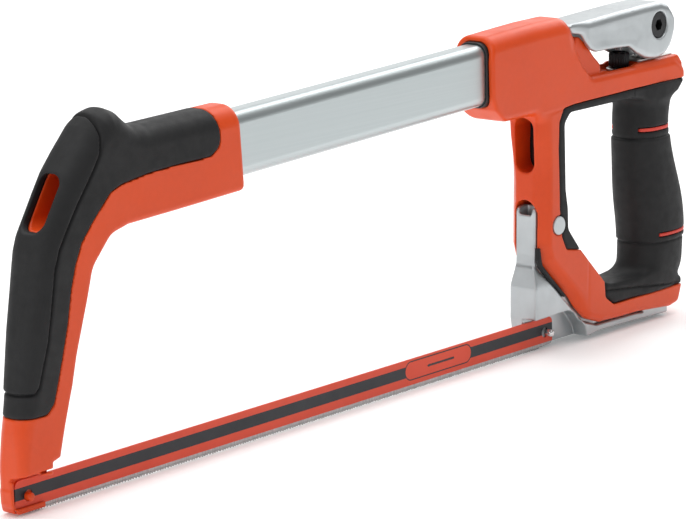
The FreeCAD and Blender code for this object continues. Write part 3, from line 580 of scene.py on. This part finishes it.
cast = np.maximum(cast, -bc)
for x in (272.0, 294.0):
    zc = 111.14 + 0.04104 * x
    d = np.sqrt((g.X - x) ** 2 + (g.Z - zc) ** 2)
    cone = np.maximum(d - (2.05 + np.clip(g.Y - 8.0, 0, 2.2)), 3.0 - g.Y)
    cast = np.maximum(cast, -cone)
handle_casting_v = nets(g, cast, "handle_casting_shell", ORANGE)

# rubber lining of the hand opening
gl_ = Grid(297, 354, -10.4, 10.4, 30, 105)
ho2 = gl_.poly(hand_orange); hn2 = gl_.poly(hand_open)
ring = np.maximum(ho2 + 0.05, -hn2)
ln = gl_.slab(ring, 10.15, 1.1)
ln = np.maximum(ln, gl_.X - 352.0)
ln = np.maximum(ln, -np.maximum(320 - gl_.X, gl_.Z - 95))
ln = np.maximum(ln, -np.maximum(np.maximum(312.8 - gl_.X, gl_.X - 329.6), np.maximum(24.6 - gl_.Z, gl_.Z - 41.6)) + 0 * gl_.Y)
ln = smax(ln, -gl_.slab(gl_.poly(arm_room), 5.5, 0.2), 0.2)
ln = smax(ln, -gl_.ycyl(PX, PZ, 4.15, -20, -9.2), 0.2)
ln = smax(ln, -gl_.ycyl(PX, PZ, 4.15, 9.2, 20), 0.2)
liner_v = nets(gl_, ln, "opening_lining", RUBBER)

# ------------------------------------------------------------------ rear grip
SEC = np.array([(12.8, 367.5, 19.4, 10.0), (20.0, 374.3, 18.2, 11.3), (28.0, 376.4, 16.7, 12.3), (40.0, 376.7, 16.8, 12.6),
                (54.0, 374.6, 16.6, 12.6), (68.0, 371.8, 14.6, 12.0), (80.0, 370.0, 13.2, 11.6), (90.0, 370.0, 13.6, 11.2),
                (98.0, 371.6, 15.4, 10.6), (103.7, 373.0, 17.2, 10.0)])


def cubic(xq, x, y):
    """natural cubic through the sections"""
    n = len(x); hh = np.diff(x)
    A = np.zeros((n, n)); B = np.zeros(n)
    A[0, 0] = A[-1, -1] = 1
    for i in range(1, n - 1):
        A[i, i - 1] = hh[i - 1]; A[i, i] = 2 * (hh[i - 1] + hh[i]); A[i, i + 1] = hh[i]
        B[i] = 6 * ((y[i + 1] - y[i]) / hh[i] - (y[i] - y[i - 1]) / hh[i - 1])
    M = np.linalg.solve(A, B)
    q = np.clip(xq, x[0], x[-1])
    k = np.clip(np.searchsorted(x, q) - 1, 0, n - 2)
    t = q - x[k]; u = x[k + 1] - q; h_ = hh[k]
    return (M[k] * u ** 3 + M[k + 1] * t ** 3) / (6 * h_) + (y[k] / h_ - M[k] * h_ / 6) * u + (y[k + 1] / h_ - M[k + 1] * h_ / 6) * t


g = Grid(329, 395, -13, 13, 12, 104.5, 0.45)
xc = cubic(g.zs, SEC[:, 0], SEC[:, 1])[None, None, :]
aa = cubic(g.zs, SEC[:, 0], SEC[:, 2])[None, None, :]
bb = cubic(g.zs, SEC[:, 0], SEC[:, 3])[None, None, :]
p = 2.3
rad = ((np.abs(g.X - xc) / aa) ** p + (np.abs(g.Y) / bb) ** p) ** (1 / p)
dist = np.sqrt((g.X - xc) ** 2 + g.Y ** 2) + 1e-6
oval = (rad - 1) * dist / np.maximum(rad, 0.2)
mid = sstep(34.2, 35.0, g.Z) * sstep(80.7, 79.9, g.Z)
oval = oval - 0.0 + 0.45 * (1 - mid)
oval = oval + 0.55 * np.exp(-((g.Z - 80.5) / 0.5) ** 2) + 0.55 * np.exp(-((g.Z - 34.4) / 0.5) ** 2)
tf = g.slab(g.poly([(350.0, 99.8), (350.0, 103.65), (388.5, 103.65), (388.3, 101.8, 2), (384.5, 98.5), (368.0, 96.0)]), 9.95, 1.4)
bf = g.slab(g.poly([(330.9, 17.2, 1), (330.3, 23.8, 1.5), (337.0, 21.6, 3), (352.0, 21.0), (358.0, 21.6), (366.0, 23.0), (380.0, 19.0), (387.0, 16.0), (387.4, 12.85), (337.2, 12.85, 3)]), 9.95, 1.8)
gr = smin(oval, tf, 4.0)
gr = smin(gr, bf, 3.2)
zl = 19.9 - 0.113 * (g.X - 331.0)
lower_line = 0.85 * np.exp(-((g.Z - zl) / 0.42) ** 2) * sstep(388.0, 382.0, g.X)
gr = gr + lower_line
gr = np.maximum(gr, g.Z - 103.66); gr = np.maximum(gr, 12.84 - g.Z); gr = np.maximum(gr, g.X - 393.55)
gr = np.maximum(gr, 352.3 - g.X + 0 * g.Z) if False else np.maximum(gr, np.where(g.Z > 90, 352.05 - g.X, -99))
inl = []
for z0, x0 in ((84.3, 359.4), (37.6, 368.2)):
    zt = z0 + 0.0 * g.X
    band = np.maximum(np.abs(g.Z - zt) - 0.75, x0 - g.X)
    inl.append(band)
band = np.minimum(inl[0], inl[1])
band = np.maximum(band, 3.2 - np.abs(g.Y))
shell = gr
grip_body = smax(gr, -(band - 0.25), 0.2)
grip_body = np.where(gr < -1.3, gr, grip_body)
core = g.box(355, 389, -7.05, 7.05, 0, 110, 1.0)
rear_grip_v = nets(g, grip_body, "handle_rubber_grip", RUBBER)
red = np.maximum(np.maximum(gr - 0.0, -(gr + 1.2)), band)
gi = Grid(360, 395, -13, 13, 34, 86.5, 0.3)
xc = cubic(gi.zs, SEC[:, 0], SEC[:, 1])[None, None, :]
aa = cubic(gi.zs, SEC[:, 0], SEC[:, 2])[None, None, :]
bb = cubic(gi.zs, SEC[:, 0], SEC[:, 3])[None, None, :]
rad = ((np.abs(gi.X - xc) / aa) ** p + (np.abs(gi.Y) / bb) ** p) ** (1 / p)
dist = np.sqrt((gi.X - xc) ** 2 + gi.Y ** 2) + 1e-6
ov = (rad - 1) * dist / np.maximum(rad, 0.2)
mid = sstep(34.2, 35.0, gi.Z) * sstep(80.7, 79.9, gi.Z)
ov = ov + 0.45 * (1 - mid)
b2 = np.minimum(np.maximum(np.abs(gi.Z - 84.3) - 0.72, 359.6 - gi.X), np.maximum(np.abs(gi.Z - 37.6) - 0.72, 368.4 - gi.X))
b2 = np.maximum(b2, 3.3 - np.abs(gi.Y))
red = np.maximum(np.maximum(ov + 0.02, -(ov + 1.25)), np.maximum(b2, gi.X - 393.5))
inlay_v = nets(gi, red, "grip_red_strips", RED, 1)

# ------------------------------------------------------------------ tension arm
g = Grid(284, 382, -7.2, 7.2, 0.5, 65, 0.42)
arm_in = g.slab(g.poly([(286.6, 24.0), (288.0, 42.0), (288.4, 61.6, 2.2), (293.0, 62.2, 3), (301.0, 60.4, 5),
                        (303.3, 54.0, 6), (303.0, 45.0, 2), (317.4, 25.6, 2), (330.0, 13.0, 3), (330.0, 4.2), (300.0, 4.0)]), 5.0, 0.9)
arm_lo2 = g.poly([(286.0, 14.6), (286.2, 28.0, 4), (287.5, 38.0, 4), (289.4, 36.2, 2), (306.2, 20.0), (319.2, 8.2, 6),
                  (328.0, 5.3), (355.4, 4.9), (379.4, 2.9, 2), (380.0, 0.9, 0.8), (330.4, 2.2, 3), (324.0, 1.4, 2),
                  (294.0, 1.6, 3), (288.0, 3.0, 2)])
w_lo = 5.0 + 2.0 * sstep(38.5, 27.0, g.Z2)
arm_lo = g.slab(arm_lo2, w_lo, 0.9)
foot_in = g.slab(g.poly([(326.0, 3.0), (326.0, 9.0, 1), (356.0, 8.6), (381.0, 8.0, 1), (381.0, 2.2)]), 5.0, 0.5)
boss = g.slab(g.poly([(363.4, 2.4), (363.4, 11.0, 2), (379.6, 11.0, 2), (380.0, 2.4)]), 6.6, 0.5)
arm = smin(smin(arm_in, arm_lo, 0.25), np.minimum(foot_in, boss), 0.5)
arm = smin(arm, g.slab(g.poly([(362.0, 1.4), (362.0, 8.0, 2), (380.0, 7.0, 2), (380.0, 1.2)]), 7.0, 0.5), 0.5)
rec2 = g.poly([(270.0, -13.0), (270.0, 14.6), (308.0, 15.2, 3), (315.0, 12.4, 5), (320.6, 5.4, 5), (324.5, -13.0)])
rec = np.maximum(g.lift(rec2), g.Y - 0.38)
# rear part of the near side: the rim wall round the recess
arm = smax(arm, -rec, 0.35)
arm = smax(arm, -g.box(280.0, 291.6, -3.1, 3.3, 58.6, 80, 1.2), 0.5)
arm = smax(arm, -g.box(290.0, 294.4, -3.1, 3.3, 55.0, 80, 0.8), 0.5)
arm = np.maximum(arm, -g.ycyl(PX, PZ, 3.7, -12, 12))
slot = g.slab(g.poly([(366.75, 2.75, 3.4), (366.75, 10.05, 3.4), (375.4, 10.05, 3.4), (375.4, 2.75, 3.4)]), 6.3, 0.1)
arm = np.maximum(arm, -slot)
rh = np.maximum(np.sqrt(np.maximum(np.abs(g.X - LX - 0.7) - 0.7, 0) ** 2 + g.Y ** 2) - 3.3, 6.4 - g.Z)
arm = np.maximum(arm, -rh)
arm_v = nets(g, arm, "tension_arm_casting", SILVER)

# ------------------------------------------------------------------ cam lever
g = Grid(309, 383, -10.1, 10.1, 113.8, 139.2, 0.42)
lev_out = [(309.8, 134.6, 1.0), (311.6, 131.9, 1.0), (317.0, 130.6, 1.5), (318.6, 127.8, 1.5), (321.6, 124.3, 1.5),
           (325.8, 122.6, 2), (338.0, 122.5), (349.0, 121.9, 3), (355.0, 118.2, 3), (361.0, 115.5),
           (364.5, 114.75), (367.5, 114.37), (370.4, 114.36), (373.6, 114.95), (376.6, 116.3), (379.3, 118.6),
           (381.2, 121.8), (382.2, 125.5), (382.2, 129.8), (381.2, 133.4, 2), (378.4, 136.6, 3), (372.5, 138.3, 3),
           (360.0, 138.1), (340.0, 137.3), (322.0, 136.4), (311.5, 135.9, 1.2)]
f2 = g.poly(lev_out)
rl = 1.4 + 2.0 * sstep(129, 134, g.Z2) * sstep(312, 322, g.X2) + 1.0 * sstep(352, 358, g.X2) * sstep(129, 122, g.Z2)
lv = g.slab(f2, 10.0 - 2.3 * sstep(321, 312, g.X2), rl)
chan = g.slab(g.poly([(313.8, 100.0), (313.8, 131.4, 1), (318.0, 132.6, 1), (362.6, 133.4, 3), (362.6, 100.0)]), 7.4, 0.8)
lv = smax(lv, -chan, 0.4)
fork = np.minimum(g.box(360.0, 400.0, -4.3, 4.3, 100.0, 128.6), g.ycyl(LX, LZ, 7.4, -4.3, 4.3))
fork = np.minimum(fork, g.box(LX, 400.0, -4.3, 4.3, 128.0, LZ + 6.0))
lv = smax(lv, -fork, 0.3)
# shallow hollow in each cheek and a ring round the pivot
d_in = g.lift(np.maximum(-f2 - 3.0, 0))
dent = g.lift(g.poly([(326.0, 125.8, 2), (326.0, 131.6, 2), (352.0, 132.6, 3), (360.0, 128.5, 3), (354.0, 122.6, 3)]))
lv = lv + 0.11 * sstep(1.2, -2.2, dent) * (np.abs(g.Y) > 8.0)
rp = np.sqrt((g.X - LX) ** 2 + (g.Z - LZ) ** 2)
boss_ring = np.maximum(rp - 7.2, np.abs(g.Y) - 10.0)
lv = smax(lv, -np.maximum(rp - 5.7, 8.0 - np.abs(g.Y)), 0.7)
lv = np.maximum(lv, -(rp - 4.0 + 0 * g.Y))
lever_v = nets(g, lv, "cam_lever_casting", SILVER)

# ------------------------------------------------------------------ blade with teeth
BX0 = 0.6
def blade_mesh():
    x0, x1 = BX0 - 6.6, BX0 + 305.0
    pitch = 25.4 / 18.0
    top, T = 12.7, 0.325
    n = int((x1 - x0 - 14) / pitch)
    bot = []
    xs = x0 + 7.0
    bot.append((x0 + 2.2, 0.9)); bot.append((xs - 0.4, 0.9))
    for i in range(n):
        a = xs + i * pitch
        bot += [(a, 0.02), (a + 0.12, 0.02), (a + pitch * 0.45, 0.55), (a + pitch * 0.78, 0.92)]
    bot.append((xs + n * pitch, 0.6)); bot.append((x1 - 2.2, 0.9))
    def arc(cx, cz, r, a0, a1, k=7):
        return [(cx + r * math.cos(math.radians(a0 + (a1 - a0) * i / k)), cz + r * math.sin(math.radians(a0 + (a1 - a0) * i / k))) for i in range(k + 1)]
    loop = arc(x0 + 2.2, 3.1, 2.2, 180, 270)[:-1] + bot + arc(x1 - 2.2, 3.1, 2.2, 270, 360)[1:] + \
        arc(x1 - 2.6, top - 2.6, 2.6, 0, 90) + arc(x0 + 2.6, top - 2.6, 2.6, 90, 180)
    holes = [[(hx + 2.15 * math.cos(2 * math.pi * i / 28), 6.35 + 2.15 * math.sin(2 * math.pi * i / 28)) for i in range(28)]
             for hx in (BX0, BX0 + 300.0)]
    cu = bpy.data.curves.new("blade_outline", "CURVE")
    cu.dimensions = "2D"; cu.fill_mode = "BOTH"; cu.extrude = T * 0.001
    for pts in [loop] + holes:
        s = cu.splines.new("POLY"); s.points.add(len(pts) - 1)
        for q, (a, b) in zip(s.points, pts):
            q.co = ((a - OX) * 0.001, b * 0.001, 0, 1)
        s.use_cyclic_u = True
    ob = bpy.data.objects.new("tmp_blade", cu)
    bpy.context.scene.collection.objects.link(ob)
    dg = bpy.context.evaluated_depsgraph_get()
    me = bpy.data.meshes.new_from_object(ob.evaluated_get(dg))
    bpy.data.objects.remove(ob)
    me.transform(Matrix.Rotation(math.radians(90), 4, "X"))
    co = np.array([v.co for v in me.vertices])
    # wavy set of the toothed edge
    z = co[:, 2] * 1000; x = co[:, 0] * 1000
    k = np.clip((1.6 - z) / 1.6, 0, 1)
    co[:, 1] += k * 0.00016 * np.sin(2 * math.pi * x / (pitch * 4))
    co[:, 1] = np.clip(co[:, 1], -0.00048, 0.00048)
    me.vertices.foreach_set("co", co.astype(np.float32).ravel()); me.update()
    o = bpy.data.objects.new("blade_with_teeth", me)
    bpy.context.scene.collection.objects.link(o)
    return o


m = Mat("printed_blade_steel")
sep = m.n("ShaderNodeSeparateXYZ"); m.l(m.tc.outputs["Object"], sep.inputs[0])
zz = m.math("MULTIPLY", sep.outputs["Z"], 1000.0)
xx = m.math("MULTIPLY", sep.outputs["X"], 1000.0)
wob = m.math("MULTIPLY", m.math("SUBTRACT", m.noise(900.0, 3.0), 0.5), 0.12)
zw = m.math("ADD", zz, wob)
orange_c = m.ramp(m.noise(40.0, 3.0), [(0.3, srgb(216, 70, 42)), (0.7, srgb(224, 76, 48))])
dark_c = m.ramp(m.noise(60.0, 3.0), [(0.3, srgb(33, 36, 41)), (0.7, srgb(40, 43, 48))])
steel_v = m.coords((400.0, 1.0, 30.0))
steel_c = m.ramp(m.noise(6.0, 4.0, 0.6, steel_v), [(0.3, srgb(150, 150, 150)), (0.7, srgb(196, 196, 196))])
top_b = m.math("GREATER_THAN", zw, 10.0)
low_b = m.math("LESS_THAN", zw, 5.45)
band = m.math("MAXIMUM", top_b, low_b)
# plain outlined badge with a cutting direction arrow pointing to the front
bxc, bzc = 229.8 - OX, 7.9
ax_ = m.math("SUBTRACT", m.math("ABSOLUTE", m.math("SUBTRACT", xx, bxc)), 17.4)
qx = m.math("MAXIMUM", ax_, 0.0)
dz = m.math("SUBTRACT", zw, bzc)
pill = m.math("SUBTRACT", m.math("SQRT", m.math("ADD", m.math("MULTIPLY", qx, qx), m.math("MULTIPLY", dz, dz))), 3.5)
pill_in = m.math("LESS_THAN", pill, 0.0)
pill_rim = m.math("LESS_THAN", m.math("ABSOLUTE", m.math("SUBTRACT", pill, 0.25)), 0.25)
sx = m.math("SUBTRACT", bxc - 6.0, xx)            # arrow pointing to the front
shaft = m.math("MULTIPLY", m.math("LESS_THAN", m.math("ABSOLUTE", dz), 0.45),
               m.math("LESS_THAN", m.math("ABSOLUTE", m.math("SUBTRACT", xx, bxc + 2.0)), 8.0))
head = m.math("MULTIPLY", m.math("LESS_THAN", m.math("ADD", m.math("ABSOLUTE", dz), m.math("MULTIPLY", m.math("ADD", sx, 4.0), 0.6)), 2.0 + 1.2),
              m.math("MULTIPLY", m.math("GREATER_THAN", sx, 0.0), m.math("LESS_THAN", m.math("ABSOLUTE", dz), 1.7)))
arrow = m.math("MAXIMUM", shaft, head)
c1 = m.mix(band, dark_c, orange_c)
c2 = m.mix(pill_in, c1, orange_c)
c3 = m.mix(pill_rim, c2, srgb(40, 40, 42))
c4 = m.mix(m.math("MULTIPLY", arrow, pill_in), c3, srgb(45, 45, 48))
bare = m.math("LESS_THAN", zw, 2.05)
c5 = m.mix(bare, c4, steel_c)
m.l(c5, m.b.inputs["Base Color"])
m.l(m.math("MULTIPLY", bare, 0.95), m.b.inputs["Metallic"])
m.l(m.maprange(m.noise(200.0, 4.0), 0.3, 0.7, 0.34, 0.46), m.b.inputs["Roughness"])
m.bump(m.noise(2400.0, 3.0), 0.06, 0.0001)
m.set(Coat_Weight=0.04, Coat_Roughness=0.25, Specular_IOR_Level=0.34)
BLADE = m.m
blade_v = blade_mesh()
blade_v.data.materials.clear(); blade_v.data.materials.append(BLADE)

# ------------------------------------------------------------------ sleeve, bumper strip, adjuster, blade pin
gs = Grid(253.5, 266.0, -8.2, 8.2, 106, 139, 0.35)
sl = np.maximum(gs.tube(13.3, 7.3, 5.15, 254.6, 303.0), -gs.tube(12.58, 6.58, 4.55, 200.0, 320.0))
sl = np.maximum(sl, gs.X - 265.0)
lip = np.maximum(gs.tube(13.55, 7.55, 5.4, 254.6, 256.4), -gs.tube(12.58, 6.58, 4.55, 200.0, 320.0))
sleeve_v = nets(gs, sl, "sleeve_mouth", NYLON, 2)
gb = Grid(285, 308, -8.6, -5.3, 18, 48, 0.3)
bz = gb.poly([(287.0, 45.6, 0.5), (288.2, 45.6, 0.5), (289.5, 38.3, 4), (295.4, 32.2), (305.6, 22.5, 0.5), (304.6, 21.6, 0.5), (294.2, 31.2), (288.3, 37.0, 3), (287.0, 40.0)])
bumper_v = nets(gb, gb.slab(bz, 1.1, 0.35, -6.85), "strut_bumper_strip", RUBBER, 1)


def ring_mesh(name, prof, mat, cx, cy, cz, axis="Z", seg=48, knurl=0.0, teeth=0):
    """turned part: profile of (radius, height) about an axis, with optional knurling"""
    vs, fs = [], []
    n = len(prof)
    for i in range(seg):
        a = 2 * math.pi * i / seg
        for r, h_ in prof:
            rr_ = r - (knurl * (0.5 + 0.5 * math.cos(a * teeth)) if (knurl and r > 4.0) else 0.0)
            p_ = (rr_ * math.cos(a), rr_ * math.sin(a), h_)
            if axis == "Y":
                p_ = (p_[0], p_[2], p_[1])
            vs.append(((cx + p_[0] - OX) * 0.001, (cy + p_[1]) * 0.001, (cz + p_[2]) * 0.001))
    for i in range(seg):
        j = (i + 1) % seg
        for k in range(n - 1):
            q = (i * n + k, j * n + k, j * n + k + 1, i * n + k + 1)
            fs.append(q if axis == "Z" else q[::-1])
    o = make(name, vs, fs, mat)
    import bmesh
    bm = bmesh.new(); bm.from_mesh(o.data)
    bmesh.ops.remove_doubles(bm, verts=bm.verts, dist=1e-6)
    bmesh.ops.recalc_face_normals(bm, faces=bm.faces)
    bm.to_mesh(o.data); bm.free()
    return o


knob_v = ring_mesh("adjuster_knob", [(0.0, 7.0), (1.3, 7.0), (1.5, 6.3), (2.5, 6.3), (2.7, 7.4), (3.5, 7.4), (4.1, 7.1), (4.35, 6.6), (4.35, 1.6),
                                     (4.1, 1.1), (3.0, 1.0), (3.0, 0.0), (2.5, 0.0), (2.5, -5.4), (0.0, -5.5)], DARK, 354.4, 0, 111.0, "Z", 192, 0.4, 24)
washer_v = ring_mesh("adjuster_washer", [(2.9, 0.95), (5.3, 0.95), (5.6, 0.75), (5.6, 0.1), (5.4, 0.0), (2.9, 0.0), (2.9, 0.95)], STEEL, 354.4, 0, 110.75, "Z", 64)
pin_v = ring_mesh("blade_pin_rear", [(0.0, -4.2), (0.9, -4.15), (1.3, -3.9), (1.5, -3.5), (1.5, 5.0), (0.0, 5.0)], POLISHED, 301.2, 0, 6.35, "Y", 40)
pinf_v = ring_mesh("blade_pin_front", [(0.0, -2.9), (0.9, -2.85), (1.3, -2.65), (1.5, -2.3), (1.5, 6.0), (0.0, 6.0)], ORANGE, 0.0, 0, 6.35, "Y", 40)
# ------------------------------------------------------------------ rides and replacements
for ob, body_, node, slot_ in (
        (front_casting_v, "frame", "front_casting", "orange_paint"), (front_grip_v, "frame", "front_grip", "black_rubber"),
        (handle_casting_v, "frame", "handle_casting", "orange_paint"), (liner_v, "frame", "hand_opening_liner", "black_rubber"),
        (rear_grip_v, "frame", "handle_grip", "black_rubber"), (inlay_v, "frame", "grip_inlays", "red_inlay"),
        (arm_v, "arm", "tension_arm", "cast_silver"), (lever_v, "lever", "cam_lever", "cast_silver"),
        (blade_v, "blade_body", "blade", "blade_paint"), (bumper_v, "frame", "arm_bumpers", "black_rubber"),
        (knob_v, "adjuster", "adjuster_screw", "black_steel"), (washer_v, "frame", None, "zinc_steel"), (pin_v, "arm", "rear_blade_pin", "zinc_steel"),
        (pinf_v, "frame", "front_blade_pin", "orange_paint"), (sleeve_v, "frame", "collar_sleeve", "black_plastic")):
    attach(ob, body_)
    if node:
        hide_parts(node)

NODE_MATS = {"frame_tube": TUBE, "collar_sleeve": NYLON, "front_blade_pin": ORANGE, "rear_blade_pin": STEEL,
             "front_tube_screws": DARK, "handle_tube_screws": DARK, "arm_pivot_bush": BRONZE, "arm_pivot_pin": SILVER,
             "pivot_pin_screw": STEEL, "pivot_washers": NYLON, "arm_bumpers": RUBBER, "tension_rod": STEEL,
             "rod_barrel_nut": STEEL, "rod_guide_bush": NYLON, "lever_pivot_pin": DARK, "lever_pin_screw": DARK,
             "wear_plate": STEEL, "wear_plate_screws": STEEL, "adjuster_screw": DARK}
for n_, o_ in nodes.items():
    if n_ in NODE_MATS:
        o_.data.materials.clear(); o_.data.materials.append(NODE_MATS[n_])

# ------------------------------------------------------------------ stage, light, camera
fl = Mat("floor")
fl.l(fl.ramp(fl.noise(3.0, 2.0), [(0.3, (0.95, 0.95, 0.95, 1)), (0.7, (0.97, 0.97, 0.97, 1))]), fl.b.inputs["Base Color"])
fl.set(Roughness=0.7, Specular_IOR_Level=0.2)
fl.b.inputs["Emission Color"].default_value = (1.0, 1.0, 1.0, 1.0)
fl.b.inputs["Emission Strength"].default_value = 0.1
fz = cad_box[0][2] - 0.0002
floor = make("floor", [(-6, -6, fz), (8, -6, fz), (8, 8, fz), (-6, 8, fz)], [(0, 1, 2, 3)], fl.m, False)

world = bpy.data.worlds.new("studio"); bpy.context.scene.world = world
world.use_nodes = True
world.node_tree.nodes["Background"].inputs[0].default_value = (1.0, 1.0, 1.0, 1)
world.node_tree.nodes["Background"].inputs[1].default_value = 0.34


def area(name, loc, target, size, power, size_y=None):
    li = bpy.data.lights.new(name, "AREA")
    li.energy = power; li.size = size
    if size_y:
        li.shape = "RECTANGLE"; li.size_y = size_y
    ob = bpy.data.objects.new(name, li)
    ob.location = loc
    ob.rotation_euler = (Vector(target) - Vector(loc)).to_track_quat("-Z", "Y").to_euler()
    bpy.context.scene.collection.objects.link(ob)
    return ob


area("overhead_softbox", (0.35, 0.55, 2.3), (0.30, 0.5, 0.0), 3.4, 72)
area("back_softbox", (1.65, 1.45, 0.62), (0.0, 0.0, 0.1), 2.8, 9.0, 1.1)
area("right_strip", (2.1, 0.25, 1.35), (0.15, 0.0, 0.1), 1.5, 11.0, 0.8)
area("key_left", (-1.5, -0.05, 0.75), (0, 0, 0.08), 0.8, 5.0)

cd = bpy.data.cameras.new("camera")
cam = bpy.data.objects.new("camera", cd)
bpy.context.scene.collection.objects.link(cam)
R = Vector((0.6515, -0.7584, -0.0216)); U = Vector((0.1749, 0.1225, 0.9769))
Bk = R.cross(U).normalized(); U = Bk.cross(R).normalized(); R.normalize()
M = Matrix((R, U, Bk)).transposed().to_4x4()
M.translation = Vector(((-764.2 - OX) * 0.001, -0.8125, (323.8 + 6.35) * 0.001))
cam.matrix_world = M
cd.sensor_fit = "HORIZONTAL"; cd.sensor_width = 36.0
cd.lens = 3275.3 * 36.0 / 686.0
cd.clip_start = 0.05; cd.clip_end = 30
bpy.context.scene.camera = cam
bpy.context.scene.view_settings.view_transform = "Standard"
